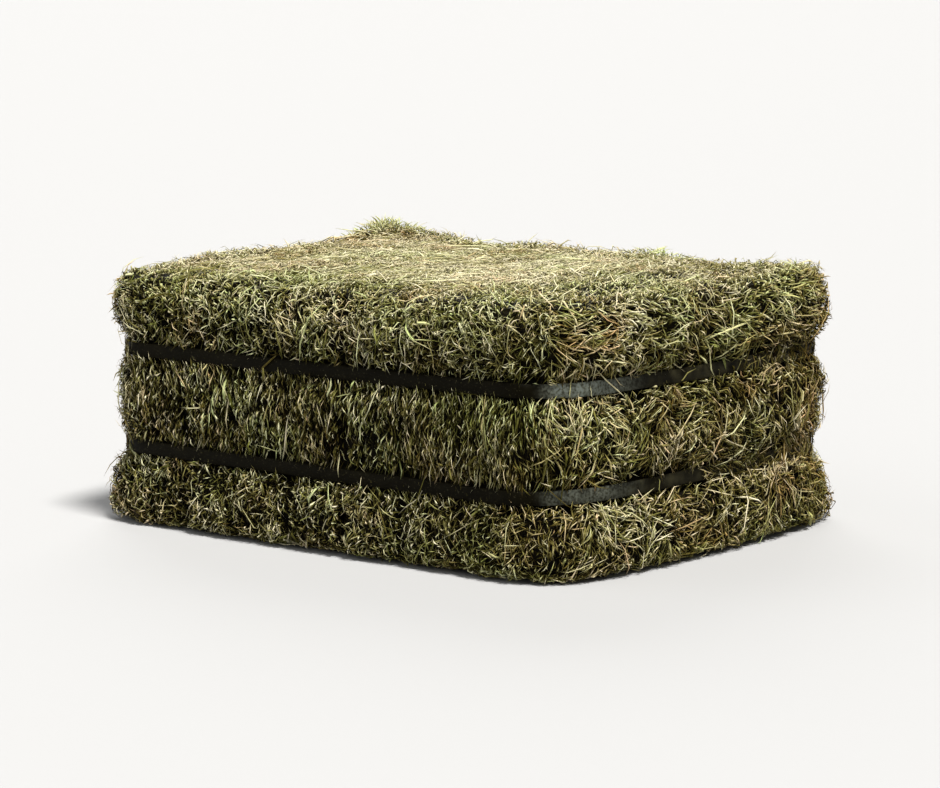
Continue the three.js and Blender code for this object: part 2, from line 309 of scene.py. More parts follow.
def unit(vectors):
    return vectors / np.maximum(np.linalg.norm(vectors, axis=-1, keepdims=True), 1e-9)


def lattice(cells, seed):
    """A fixed pseudo-random number from 0 to 1 for each whole-numbered cell."""
    mixed = seed * HASH_SEED + sum(cells[..., axis] * factor for axis, factor in enumerate(HASH_AXES))
    for shift, factor in HASH_STEPS:
        mixed = (mixed ^ (mixed >> shift)) * factor & LOW_32_BITS
    return ((mixed ^ (mixed >> HASH_LAST_SHIFT)) & LOW_24_BITS) / LOW_24_BITS


def noise(points, size, seed):
    """Smooth noise from -1 to 1, with features of the given size."""
    at = points / size + LATTICE_SHIFT
    cell = np.floor(at).astype(np.int64)
    share = smooth(at - cell)
    total = np.zeros(len(points))
    for corner in np.ndindex(2, 2, 2):
        step = np.array(corner)
        weight = np.prod(np.where(step == 1, share, 1.0 - share), axis=1)
        total += weight * lattice(cell + step, seed)
    return 2.0 * total - 1.0


def layered(points, layers):
    """The sum of layers of noise, each given as its strength, the size of its features and its seed."""
    return sum(strength * noise(points, size, seed) for strength, size, seed in layers)


def weigh(weights, regions):
    """The base value of some weights, plus what each region adds to it."""
    total = weights["base"]
    for name, region in regions.items():
        total = total + weights.get(name, 0.0) * region
    return total


def flake_mesh(node):
    """A copy of a flake's solid with its shared vertices merged, as a bmesh."""
    mesh = bmesh.new()
    mesh.from_mesh(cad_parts[node].data)
    bmesh.ops.remove_doubles(mesh, verts=mesh.verts, dist=SAME_PLACE)
    bmesh.ops.triangulate(mesh, faces=mesh.faces)
    mesh.normal_update()
    return mesh


def is_seam(face):
    """Whether a face lies in the plane where two flakes meet."""
    along = [vertex.co.x for vertex in face.verts]
    return abs(face.normal.x) > 0.999 and max(along) - min(along) < SAME_PLACE


def outer_faces(mesh):
    return [face for face in mesh.faces if not is_seam(face)]


FLAKES = sorted(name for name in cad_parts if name.startswith("flake_"))
STRAPS = sorted(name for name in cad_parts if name.startswith("strap_"))
SEAMS = [(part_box(first)[1].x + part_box(second)[0].x) / 2 for first, second in zip(FLAKES, FLAKES[1:])]
STRAP_HEIGHTS = [sum(corner.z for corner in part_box(name)) / 2 for name in STRAPS]
FLAT_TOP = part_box("flake_05")[1].z


class Skin:
    """The outer surface of the whole bale, for finding the nearest place on it."""

    def __init__(self):
        corners = []
        faces = []
        self.flakes = {}
        for name in FLAKES:
            mesh = flake_mesh(name)
            first = len(faces)
            for face in outer_faces(mesh):
                start = len(corners)
                corners.extend(tuple(vertex.co) for vertex in face.verts)
                faces.append((start, start + 1, start + 2))
            self.flakes[name] = np.arange(first, len(faces))
            mesh.free()
        self.corners = np.array(corners).reshape(-1, 3, 3)
        self.tree = BVHTree.FromPolygons(corners, faces)

    def nearest(self, points):
        """The place on the skin nearest to each point, and the direction outwards there."""
        found = [self.tree.find_nearest(Vector(point)) for point in points]
        places = np.array([tuple(hit[0]) for hit in found])
        normals = np.array([tuple(hit[1]) for hit in found])
        return places, normals

    def scatter(self, flake, densities, rng, beneath=False):
        """Random places on a flake's outer surface, with the direction outwards at each. densities are those
        of a long side, an end and the top. beneath gives places on the underside alone."""
        triangles = self.corners[self.flakes[flake]]
        cross = np.cross(triangles[:, 1] - triangles[:, 0], triangles[:, 2] - triangles[:, 0])
        area = np.linalg.norm(cross, axis=1) / 2
        normals = unit(cross)
        end = on_end(normals)
        flat = rising(np.abs(normals[:, 2]), 0.5, 0.4)
        density = (densities[0] * (1.0 - end) + densities[1] * end) * (1.0 - flat) + densities[2] * flat
        under = normals[:, 2] < -0.7
        wanted = area * density * (under if beneath else np.where(under, UNDERSIDE_SHARE, 1.0))
        counts = rng.poisson(wanted)
        chosen = np.repeat(np.arange(len(triangles)), counts)
        u, v = rng.random((2, len(chosen)))
        over = u + v > 1
        u[over], v[over] = 1 - u[over], 1 - v[over]
        a, b, c = triangles[chosen].transpose(1, 0, 2)
        return a + (b - a) * u[:, None] + (c - a) * v[:, None], normals[chosen]


def band_distance(heights):
    """Distance of each height from the middle of the nearest strap."""
    return np.min([np.abs(heights - strap) for strap in STRAP_HEIGHTS], axis=0)


def seam_share(points):
    """1 where two flakes meet, falling to 0 beside the seam."""
    away = np.min([np.abs(points[:, 0] - seam) for seam in SEAMS], axis=0)
    return np.exp(-(away / SEAM_HALF) ** 2)


def flake_tone(points, strength, seed):
    """A number from -strength to strength that is the same over a whole flake."""
    index = np.searchsorted(SEAMS, points[:, 0])
    return strength * (2.0 * lattice(np.column_stack([index, index * 0, index * 0]), seed) - 1.0)


def across_end(points):
    """How far each place is across its end, from the corner of the drawn straps to the further one."""
    return points[:, 1] * np.sign(points[:, 0])


def on_side(normals):
    """How upright the surface is at each place: 0 on the top and the underside, 1 on the sides and ends."""
    return falling(np.abs(normals[:, 2]), 1.0, 0.5)


def on_end(normals):
    """How much of an end each place is: 1 where it faces along the bale."""
    return rising(np.abs(normals[:, 0]), 0.35, 0.4)


def on_long_side(normals):
    return rising(np.abs(normals[:, 1]), 0.5, 0.4)


def on_top(normals):
    return rising(normals[:, 2], 0.35, 0.5)


def on_underside(normals):
    return rising(-normals[:, 2], 0.65, 0.25)


def top_middle(points):
    """1 in the pressed middle of the top, falling to 0 towards its rim."""
    wander = layered(points, MIDDLE_WANDER)
    along = falling(np.abs(points[:, 0] - MIDDLE_CENTRE), MIDDLE_HALF[0] + wander, MIDDLE_FADE[0])
    across = falling(np.abs(points[:, 1]), MIDDLE_HALF[1] + wander, MIDDLE_FADE[1])
    return along * across * rising(points[:, 2] - FLAT_TOP, -0.03, 0.02)


def tuft_share(points):
    """How much of a tuft each place bears: the strength of the tuft in its middle, falling to 0 round it."""
    shares = []
    for x, y, size, strength in TUFTS:
        away = np.hypot(points[..., 0] - x, points[..., 1] - y) / size
        shares.append(strength * np.exp(-away ** 2))
    return np.max(shares, axis=0)


def drawn_flat(points, normals):
    """How tightly the straps press the hay of a long side, near the corner that they were drawn round."""
    turned = points[:, 0] * -np.sign(points[:, 1])
    return on_long_side(normals) * rising(turned, *DRAWN)


def paleness_worn_and_lit(points):
    """How pale the hay is, partly worn and partly painted light: most in the patches on the corner that the
    straps were drawn round.
    """
    along = (np.abs(points[:, 0]) - PALE_MIDDLE[0]) / PALE_SIZE
    across = (across_end(points) - PALE_MIDDLE[1]) / PALE_SIZE
    return sum(strength * np.exp(-along ** 2 - across ** 2 - ((points[:, 2] - height) / half) ** 2)
               for height, half, strength in PALE_PATCHES)


def burial(points, normals):
    """How much the straps are lost under loose hay: on the further half of each end, seen from its front."""
    upper = points[:, 2] > sum(STRAP_HEIGHTS) / 2
    start = np.where(upper, BURIAL_START[1], BURIAL_START[0])
    inwards = across_end(points) - start + layered(points, BURIAL_WANDER)
    return on_end(normals) * rising(inwards, 0.0, BURIAL_FADE)


def end_swirl(points):
    """The way strands run on an end, as a turn from upright: level at the top, fanned out under a corner."""
    swirl = layered(points, SWIRL)
    level = rising(points[:, 2], *LEVEL)
    swirl = swirl + level * (LEVEL_TURN + layered(points, LEVEL_WANDER) - swirl)
    across = across_end(points) - FAN_CORNER
    drop = points[:, 2] - STRAP_HEIGHTS[0]
    fan = np.exp(-(across ** 2 + drop ** 2) / FAN_SIZE ** 2) * (drop < 0)
    return swirl + fan * (np.arctan2(across, -drop) - swirl)


def grain(points, normals, rng):
    """The way strands run: upright on the long sides, across on the top, and in swirls on the ends. The long
    sides are tangled over the upper strap and under the lower one."""
    end = smooth((np.abs(normals[:, 0]) - 0.35 + layered(points, END_WANDER)) / 0.4)
    outside = (points[:, 2] < STRAP_HEIGHTS[0]) | (points[:, 2] > STRAP_HEIGHTS[1])
    flat = on_top(normals) + on_underside(normals)
    regions = dict(end=end, flat=flat, tangled=on_long_side(normals) * outside)
    over_rim = np.column_stack([np.zeros(len(points)), -np.sign(points[:, 1]) * np.abs(normals[:, 2]),
                                np.maximum(np.abs(normals[:, 1]), np.abs(normals[:, 0]))])
    along = unit(over_rim - normals * np.sum(over_rim * normals, axis=1, keepdims=True))
    beside = np.cross(normals, along)
    lean = layered(points, LEAN) * weigh(GRAIN_LEAN, regions) + end * end_swirl(points)
    angle = lean + rng.normal(0.0, 1.0, len(points)) * weigh(GRAIN_SPREAD, regions)
    wild = rng.random(len(points)) < weigh(GRAIN_WILD, regions)
    angle = np.where(wild, rng.uniform(-math.pi, math.pi, len(points)), angle)
    return along * np.cos(angle)[:, None] + beside * np.sin(angle)[:, None]


def room_between_straps(points, directions, lengths, reach):
    """The stretch of each strand, as shares of its length from -0.5 to 0.5, that stays clear of the straps.
    reach is how far from the middle of a strap each strand may come."""
    low = np.full(len(points), -0.5)
    high = np.full(len(points), 0.5)
    slope = directions[:, 2] * lengths
    slope = np.where(np.abs(slope) < TINY, TINY, slope)
    for strap in STRAP_HEIGHTS:
        above = points[:, 2] > strap
        share = (np.where(above, strap + reach, strap - reach) - points[:, 2]) / slope
        towards = above == (slope < 0)
        high = np.where(towards, np.minimum(high, share), high)
        low = np.where(towards, low, np.maximum(low, share))
    return low, high


def strand_lifts(points, normals, kind, rng):
    """How far from the skin each strand runs at each of its places, before the straps are minded."""
    lift = np.tile(kind["lift"], (len(points), 1))
    lift = lift + rng.normal(0.0, 1.0, (len(points), 1)) * kind["rise"] * 0.7
    lift = lift + rng.normal(0.0, 1.0, lift.shape) * kind["rise"] * 0.5
    rough = 1.0 + 0.9 * on_end(normals)
    lumps = layered(points, LUMPS)
    lumps = np.where(lumps > 0, lumps * rough, lumps)
    lumps = lumps * (1.0 - 0.6 * drawn_flat(points, normals))
    lift = lift + (lumps - SEAM_DEPTH * seam_share(points))[:, None]
    lift = np.where(rng.random((len(points), 1)) < REVERSED, lift[:, ::-1], lift)
    pressed = (top_middle(points) * on_top(normals) + on_underside(normals))[:, None]
    return lift * (1.0 - 0.55 * pressed) - 0.0010 * pressed


def strand_paths(skin, points, normals, kind, rng):
    """The places that each strand runs through, laid over the skin and under or over the straps, how far
    they lie over the skin, and which strands are worth keeping."""
    count = len(points)
    shortest, longest = kind["length"]
    directions = grain(points, normals, rng)
    lengths = rng.triangular(shortest, shortest * 1.3, longest, count)
    side = on_side(normals)
    hanging = rng.random(count) < HANGING
    reach = BAND_HALF - np.where(hanging, OVERHANG * rng.random(count) ** 1.7, 0.0)
    low, high = room_between_straps(points, directions, lengths, reach)
    buried = rng.random(count) < BURIED * burial(points, normals)
    steep = np.abs(directions[:, 2]) > STEEP
    crosses = ((rng.random(count) < kind.get("crossing", 0.0)) & steep) | (buried & (kind["light"] > -0.1))
    free = crosses | (side < 0.02)
    low, high = np.where(free, -0.5, low), np.where(free, 0.5, high)
    stops = np.linspace(0.0, 1.0, len(kind["lift"]))
    shares = low[:, None] + (high - low)[:, None] * stops
    beside = np.cross(normals, directions)
    curl = rng.normal(0.0, kind["curl"], count) * (1.0 - 0.4 * on_long_side(normals))
    bow = curl[:, None] * (shares ** 2 - 0.12) * 2.0
    flat = (points[:, None] + directions[:, None] * (shares * lengths[:, None])[..., None]
            + beside[:, None] * (bow * lengths[:, None])[..., None])
    places, outwards = (found.reshape(flat.shape) for found in skin.nearest(flat.reshape(-1, 3)))
    lift = strand_lifts(points, normals, kind, rng)
    cut_low = (low > -0.499)[:, None] & (stops == 0.0)
    cut_high = (high < 0.499)[:, None] & (stops == 1.0)
    lift = np.where(cut_low | cut_high, np.where(hanging, STRAP_COVER, -STRAP_DIP)[:, None], lift)
    near = band_distance(places[..., 2]) < BAND_HALF + BAND_MARGIN
    lift = np.where(near & crosses[:, None], np.maximum(lift, STRAP_COVER), lift)
    path = places + outwards * lift[..., None]
    ceiling = FLAT_TOP + TOP_REACH + TUFT_HEIGHT * tuft_share(path)
    path[..., 2] = np.clip(path[..., 2], STEM_GAP, ceiling)
    long_enough = (high - low) * lengths > shortest * 0.3
    under_strap = (band_distance(points[:, 2]) < BAND_HALF) & (side > 0.5) & ~crosses
    return path, lift, long_enough & ~under_strap


def colour_regions(points, normals):
    """How much each place belongs to each region that the colour of a strand depends on."""
    top = on_top(normals)
    end = on_end(normals)
    # The shoulder is partly paler hay and partly painted light, where the sides turn up towards the top.
    shoulder = (1.0 - top) * rising(points[:, 2], *SHOULDER)
    further = end * rising(across_end(points), *FURTHER)
    rust = rising(layered(points, RUST), *RUSTED)
    return dict(
        long_side=on_long_side(normals),
        end=end,
        top=top,
        middle=top * top_middle(points),
        shoulder=shoulder,
        pale=paleness_worn_and_lit(points),
        under=on_underside(normals),
        drawn=drawn_flat(points, normals),
        further=further,
        clump=further * rising(layered(points, CLUMPS), *CLUMPED),
        far_shoulder=further * shoulder,
        # Painted shade: darker hay beside a strap lost under hay, and low down on the sides and ends.
        groove_shade=burial(points, normals) * falling(band_distance(points[:, 2]), *GROOVE_SHADE),
        foot_shade=(1.0 - top) * falling(points[:, 2], *FOOT_SHADE),
        rust=rust,
        end_rust=rust * end,
    )


def strand_colour(points, normals, kind, lift, rng):
    """Lightness of each strand at each of its places, and its greenness and brownness, from 0 to 1."""
    regions = colour_regions(points, normals)
    light = weigh(LIGHT, regions) + kind["light"] * (1.0 - regions["middle"])
    flake_light = flake_tone(points, *FLAKE_LIGHT) + SEAM_LIGHT * seam_share(points)
    light = light + flake_light * (1.0 - regions["end"]) + layered(points, LIGHT_PATCHES)
    light = light + rng.normal(0.0, 1.0, len(points)) * weigh(LIGHT_SPREAD, regions)
    # Painted shade: the deeper a strand lies under the skin, the darker its colour.
    painted_depth_shade = smooth(-lift / SHADE_DEPTH) * SHADE * (1.0 - weigh(LIT_THROUGH, regions))[:, None]
    green = weigh(GREENNESS, regions) + kind.get("green", 0.0) + layered(points, GREEN_PATCHES)
    green = green + rng.normal(0.0, GREEN_SPREAD, len(points))
    brown = weigh(BROWNNESS, regions) + flake_tone(points, *FLAKE_BROWN)
    brown = brown + layered(points, BROWN_PATCHES) + rng.normal(0.0, BROWN_SPREAD, len(points))
    return np.clip(light[:, None] - painted_depth_shade, DARKEST, 1.0), np.clip(green, 0, 1), np.clip(brown, 0, 1)


def strand_mesh(path, normals, width, keel, rng):
    """Closed spindles along the paths: pointed at both ends, with a flat three-sided section between."""
    count, stops, _ = path.shape
    rings = stops - 2
    tangent = unit(path[:, 2:] - path[:, :-2])
    beside = unit(np.cross(tangent, normals[:, None]))
    up = np.cross(beside, tangent)
    twist = rng.normal(0.0, 0.55, (count, 1)) + rng.normal(0.0, 0.25, (count, rings))
    across = beside * np.cos(twist)[..., None] + up * np.sin(twist)[..., None]
    thick = np.cross(across, tangent)
    taper = 1.0 - 0.25 * rng.random((count, rings))
    half = (width[:, None] * taper / 2)[..., None]
    middle = path[:, 1:-1]
    corners = [middle + across * half, middle - across * half, middle - thick * half * 2 * keel]
    ring = np.stack(corners, axis=2)
    vertices = np.concatenate([path[:, :1], ring.reshape(count, rings * 3, 3), path[:, -1:]], axis=1)

    faces = []
    tip = 1 + rings * 3
    last = 1 + 3 * (rings - 1)
    for k in range(3):
        after = (k + 1) % 3
        faces.append((0, 1 + after, 1 + k))
        for r in range(rings - 1):
            base = 1 + 3 * r
            faces.append((base + k, base + after, base + 3 + after, base + 3 + k))
        faces.append((last + k, last + after, tip))
    return vertices, faces


def strand_uvs(faces, rings):
    """Where each corner of a spindle's faces lies in its own cell: along the strand, then round it."""
    tip = 1 + rings * 3
    corners = []
    for face in faces:
        round_it = {(vertex - 1) % 3 for vertex in face if 0 < vertex < tip}
        side = 2 if round_it == {0, 2} else min(round_it)
        row = []
        for vertex in face:
            if vertex == 0:
                row.append((0.0, (side + 0.5) / 3))
            elif vertex == tip:
                row.append((1.0, (side + 0.5) / 3))
            else:
                ring, turn = divmod(vertex - 1, 3)
                edge = side + 1 if turn == (side + 1) % 3 else side
                row.append(((ring + 1) / (rings + 1), edge / 3))
        corners.append(row)
    return corners


class Heap:
    """Gathers strands of several kinds into one mesh with colours and bake coordinates."""

    def __init__(self):
        self.vertices, self.colours = [], []
        self.loops, self.sizes, self.uvs, self.cells = [], [], [], []
        self.count = self.cell_count = 0

    def add(self, vertices, faces, colours):
        """Takes places of vertices, faces, and the lightness at each place with each strand's colours."""
        count, per, _ = vertices.shape
        rings = (per - 2) // 3
        starts = self.count + np.arange(count) * per
        for face, corner in zip(faces, strand_uvs(faces, rings)):
            self.loops.append(starts[:, None] + np.array(face))
            self.sizes.append(np.full(count, len(face)))
            self.uvs.append(np.broadcast_to(np.array(corner), (count, len(face), 2)))
            self.cells.append(self.cell_count + np.arange(count))
        self.vertices.append(vertices.reshape(-1, 3))
        light, green, brown = colours
        around = [1] + [3] * rings + [1]
        self.colours.append(np.column_stack([
            np.repeat(light, around, axis=1).ravel(), np.repeat(green, per), np.repeat(brown, per)]))
        self.count += count * per
        self.cell_count += count

    def build(self, name):
        """The gathered strands as one Blender mesh. Their cells fill the bake square above ATLAS_FLOOR."""
        columns = math.ceil(math.sqrt(self.cell_count / (1.0 - ATLAS_FLOOR)))
        rows = math.ceil(self.cell_count / columns)
        size = np.array([1.0 / columns, (1.0 - ATLAS_FLOOR) / rows])
        uvs = []
        for uv, cells in zip(self.uvs, self.cells):
            corner = np.column_stack([cells % columns, cells // columns]) * size + (0.0, ATLAS_FLOOR)
            inside = CELL_MARGIN + (1.0 - 2.0 * CELL_MARGIN) * uv
            uvs.append((corner[:, None] + inside * size).reshape(-1, 2))
        sizes = np.concatenate(self.sizes)
        vertices = np.concatenate(self.vertices)
        loops = np.concatenate([block.ravel() for block in self.loops])
        starts = np.concatenate([[0], np.cumsum(sizes)[:-1]])
        mesh = bpy.data.meshes.new(name)
        mesh.vertices.add(len(vertices))
        mesh.vertices.foreach_set("co", vertices.astype(np.float32).ravel())
        mesh.loops.add(len(loops))
        mesh.loops.foreach_set("vertex_index", loops.astype(np.int32))
        mesh.polygons.add(len(sizes))
        mesh.polygons.foreach_set("loop_start", starts.astype(np.int32))
        mesh.update(calc_edges=True)
        layer = mesh.uv_layers.new(name="OFBake")
        layer.data.foreach_set("uv", np.concatenate(uvs).astype(np.float32).ravel())
        add_hay_attributes(mesh, np.concatenate(self.colours))
        mesh.polygons.foreach_set("use_smooth", np.ones(len(sizes), bool))
        return mesh


def add_hay_attributes(mesh, columns):
    """Stores lightness, greenness and brownness on the vertices."""
    for name, values in zip(("light", "green", "brown"), columns.T):
        mesh.attributes.new(name, "FLOAT", "POINT").data.foreach_set("value", values.astype(np.float32))


def link_object(name, data, material=None):
    """A new object of the scene, with a material if it is a mesh."""
    made = bpy.data.objects.new(name, data)
    bpy.context.scene.collection.objects.link(made)
    if material:
        data.materials.append(material)
    return made


def select(*objects):
    """Selects some objects and nothing else, and makes the last of them active."""
    bpy.ops.object.select_all(action="DESELECT")
    for chosen in objects:
        chosen.select_set(True)
    bpy.context.view_layer.objects.active = objects[-1]


def sink(skin, points, normals, depth):
    """Moves points in until each lies at its depth under the nearest place of the skin."""
    moved = points - normals * depth[:, None]
    for _ in range(3):
        places, outwards = skin.nearest(moved)
        under = np.sum((places - moved) * outwards, axis=1)
        short = np.where(depth > 0, np.clip(depth - under, 0.0, 0.004), 0.0)
        moved = moved - normals * short[:, None]
    return moved


def outward_totals(mesh):
    """The direction outwards at each vertex, kept in the plane of the seam where two flakes meet. It is zero
    inside a seam."""
    totals = {vertex: Vector() for vertex in mesh.verts}
    for face in outer_faces(mesh):
        for vertex in face.verts:
            totals[vertex] += face.normal * face.calc_area()
    for vertex, total in totals.items():
        if any(is_seam(face) for face in vertex.link_faces):
            total.x = 0.0
    return np.array([tuple(totals[vertex]) for vertex in mesh.verts])


def core_object(skin, node, material):
    """The matted inside of a flake: its solid drawn in under the stems, but not where a strap holds it."""
    mesh = flake_mesh(node)
    bmesh.ops.subdivide_edges(mesh, edges=mesh.edges, cuts=CORE_CUTS, use_grid_fill=True)
    mesh.normal_update()
    totals = outward_totals(mesh)
    points = np.array([tuple(vertex.co) for vertex in mesh.verts])
    has_side = np.linalg.norm(totals, axis=1) > 1e-12
    normals = unit(totals)
    held = (1.0 - rising(band_distance(points[:, 2]), HELD_HALF, HELD_FADE)) * on_side(normals)
    top = rising(normals[:, 2], 0.5, 0.4)
    under = on_underside(normals)
    depth = CORE_DEPTH + (FLAT_CORE_DEPTH - CORE_DEPTH) * (top + under)
    streaks = noise(points * (1, 1, 0.3), 0.006, 22)
    ripple = CORE_RIPPLE * (noise(points, 0.020, 21) + 0.6 * streaks)
    moved = sink(skin, points, normals, np.where(has_side, (depth + ripple) * (1.0 - held), 0.0))
    moved[:, 2] = np.maximum(moved[:, 2], FLOOR_GAP)
    for vertex, place in zip(mesh.verts, moved):
        vertex.co = place
    data = bpy.data.meshes.new(node + "_core")
    mesh.to_mesh(data)
    mesh.free()
    # The core is painted dark, mostly as the shade between the stems over it, less so on the pressed top and
    # the underside.
    light, green, brown = (base + layered(points, [layer]) for base, layer in CORE_TONES)
    light = light + CORE_MIDDLE_LIGHT * top * top_middle(points) + CORE_UNDER_LIGHT * under
    add_hay_attributes(data, np.column_stack([light, np.clip(green, 0, 1), np.clip(brown, 0, 1)]))
    return link_object(node + "_hay", data, material)


def unwrap(target):
    """Lays an object's faces out in the bake square, under ATLAS_FLOOR."""
    select(target)
    target.data.uv_layers.new(name="OFBake")
    bpy.ops.object.mode_set(mode="EDIT")
    bpy.ops.mesh.select_all(action="SELECT")
    bpy.ops.uv.smart_project(angle_limit=math.radians(66), island_margin=0.002)
    bpy.ops.object.mode_set(mode="OBJECT")
    layer = target.data.uv_layers["OFBake"].data
    flat = np.zeros(len(layer) * 2, np.float32)
    layer.foreach_get("uv", flat)
    spots = np.clip(flat.reshape(-1, 2), 0, 1) * (0.998, ATLAS_FLOOR * 0.98) + 0.001
    layer.foreach_set("uv", spots.astype(np.float32).ravel())


def add_strands(heap, skin, points, normals, kind, rng):
    path, lift, kept = strand_paths(skin, points, normals, kind, rng)
    path, lift, points, normals = path[kept], lift[kept], points[kept], normals[kept]
    narrowest, widest = kind["width"]
    width = rng.triangular(narrowest, narrowest * 1.2, widest, len(path))
    width = width * (1.0 - 0.28 * drawn_flat(points, normals))
    vertices, faces = strand_mesh(path, normals, width, kind["keel"], rng)
    heap.add(vertices, faces, strand_colour(points, normals, kind, lift, rng))


def add_tuft(heap, skin, node, share, rng):
    """Short stems that stand up on the rim of the top."""
    points, normals = skin.scatter(node, np.full(3, TUFT_DENSITY * share), rng)
    chosen = (rng.random(len(points)) < tuft_share(points) ** 1.5) & (normals[:, 2] > 0.5)
    points, normals = points[chosen], normals[chosen]
    count = len(points)
    if not count:
        return
    rise = rng.uniform(*TUFT_RISE, count) * tuft_share(points)
    lean = rng.normal(0.0, TUFT_LEAN, (count, 2))
    stops = np.array([-0.25, 0.3, 0.7, 1.0])
    path = np.repeat(points[:, None], len(stops), axis=1)
    path[..., 2] += rise[:, None] * stops
    path[..., :2] += lean[:, None] * (stops ** 2)[:, None]
    kind = STRANDS["loose"]
    width = rng.uniform(*kind["width"], count)
    sideways = unit(rng.normal(0.0, 1.0, (count, 3)) * (1.0, 1.0, 0.2))
    vertices, faces = strand_mesh(path, sideways, width, kind["keel"], rng)
    light, green, brown = strand_colour(points, normals, kind, np.zeros((count, len(stops))), rng)
    heap.add(vertices, faces, (light, np.clip(green + TUFT_GREEN, 0, 1), brown * TUFT_BROWN_SHARE))


def grow(skin, node, rng):
    """All the strands of one flake, gathered in a heap."""
    heap = Heap()
    share = 1.0
    add_tuft(heap, skin, node, share, rng)
    for kind in STRANDS.values():
        points, normals = skin.scatter(node, np.array(kind["density"]) * share, rng)
        dense = 0.35 + 0.65 * rising(layered(points, SPARSE), -0.60, 0.5)
        chosen = rng.random(len(points)) < dense
        add_strands(heap, skin, points[chosen], normals[chosen], kind, rng)
    ground_rng = np.random.default_rng(GROUND_SEED + FLAKES.index(node))
    densities = np.array(GROUND_KIND["density"]) * share
    points, normals = skin.scatter(node, densities, ground_rng, beneath=True)
    add_strands(heap, skin, points, normals, GROUND_KIND, ground_rng)
    return heap


def dress_flake(skin, node, material, rng):
    """Replaces a flake's plain solid with its core and its strands, as one piece."""
    core = core_object(skin, node, material)
    unwrap(core)
    strands = link_object(node + "_strands", grow(skin, node, rng).build(node + "_strands"), material)
    select(strands, core)
    bpy.ops.object.join()
    core.data.update()
    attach(core, "root")
    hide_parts(node)


class Nodes:
    """A short way to write a material's node tree."""

    def __init__(self, name):
        self.material = bpy.data.materials.new(name)
        self.material.use_nodes = True
        self.tree = self.material.node_tree
        self.shader = self.tree.nodes["Principled BSDF"]

    def add(self, kind, inputs=None, **settings):
        node = self.tree.nodes.new(kind)
        for name, value in settings.items():
            setattr(node, name, value)
        for name, value in (inputs or {}).items():
            self.feed(node.inputs[name], value)
        return node

    def feed(self, socket, value):
        if isinstance(value, bpy.types.NodeSocket):
            self.tree.links.new(value, socket)
        else:
            socket.default_value = value

    def shade(self, **sockets):
        """Feeds the shader's sockets, with underscores in their names for spaces."""
        for name, value in sockets.items():
            self.feed(self.shader.inputs[name.replace("_", " ")], value)

    def place(self):
        return self.add("ShaderNodeTexCoord").outputs["Object"]

    def attribute(self, name):
        return self.add("ShaderNodeAttribute", attribute_name=name).outputs["Fac"]

    def math(self, operation, first, second):
        return self.add("ShaderNodeMath", {0: first, 1: second}, operation=operation).outputs[0]

    def noise(self, vector, scale, detail):
        inputs = {"Vector": vector, "Scale": scale, "Detail": detail}
        return self.add("ShaderNodeTexNoise", inputs).outputs["Fac"]

    def vary(self, value, pattern, amount):
        """A value that goes up and down by half the amount, with a pattern that runs from 0 to 1."""
        return self.math("ADD", value, self.math("MULTIPLY", self.math("SUBTRACT", pattern, 0.5), amount))

    def stretch(self, value, start, end, low=0.0, high=1.0):
        """A value that runs from low to high as another goes from start to end."""
        inputs = {"Value": value, "From Min": start, "From Max": end, "To Min": low, "To Max": high}
        return self.add("ShaderNodeMapRange", inputs).outputs["Result"]

    def mix(self, share, first, second, blend="MIX"):
        """Two colours mixed: the colour sockets of the node are its inputs 6 and 7 and its output 2."""
        node = self.add("ShaderNodeMix", data_type="RGBA", blend_type=blend)
        self.feed(node.inputs[0], share)
        self.feed(node.inputs[6], first)
        self.feed(node.inputs[7], second)
        return node.outputs[2]

    def bump(self, height, strength, distance):
        inputs = {"Height": height, "Strength": strength, "Distance": distance}
        return self.add("ShaderNodeBump", inputs).outputs["Normal"]

    def ramp(self, share, stops):
        node = self.add("ShaderNodeValToRGB", {"Fac": share})
        while len(node.color_ramp.elements) < len(stops):
            node.color_ramp.elements.new(0.5)
        for element, (place, colour) in zip(node.color_ramp.elements, stops):
            element.position = place
            element.color = (*colour, 1.0)
        return node.outputs["Color"]


def hay_material():
    """Dry matt hay: the lightness of each strand picks its colour, with fine upright streaks."""
    nodes = Nodes("hay")
    place = nodes.place()
    streaked = nodes.add("ShaderNodeMapping", {"Vector": place, "Scale": (1.0, 1.0, 0.22)}).outputs[0]
    streaks = nodes.noise(streaked, 900.0, 3.0)
    blotches = nodes.noise(place, 260.0, 2.0)
    # The light attribute holds the painted shade and painted light of the hay as well as its own tone.
    light = nodes.vary(nodes.vary(nodes.attribute("light"), streaks, 0.22), blotches, 0.18)
    greener = nodes.mix(nodes.attribute("green"), nodes.ramp(light, HAY_RAMP), GREEN, "MULTIPLY")
    browner = nodes.mix(nodes.attribute("brown"), greener, BROWN, "MULTIPLY")
    rough = nodes.math("ADD", 0.52, nodes.math("MULTIPLY", blotches, 0.30))
    nodes.shade(Base_Color=browner, Roughness=rough, Specular_IOR_Level=0.06)
    nodes.shade(Normal=nodes.bump(streaks, 0.35, 0.0006))
    return nodes.material


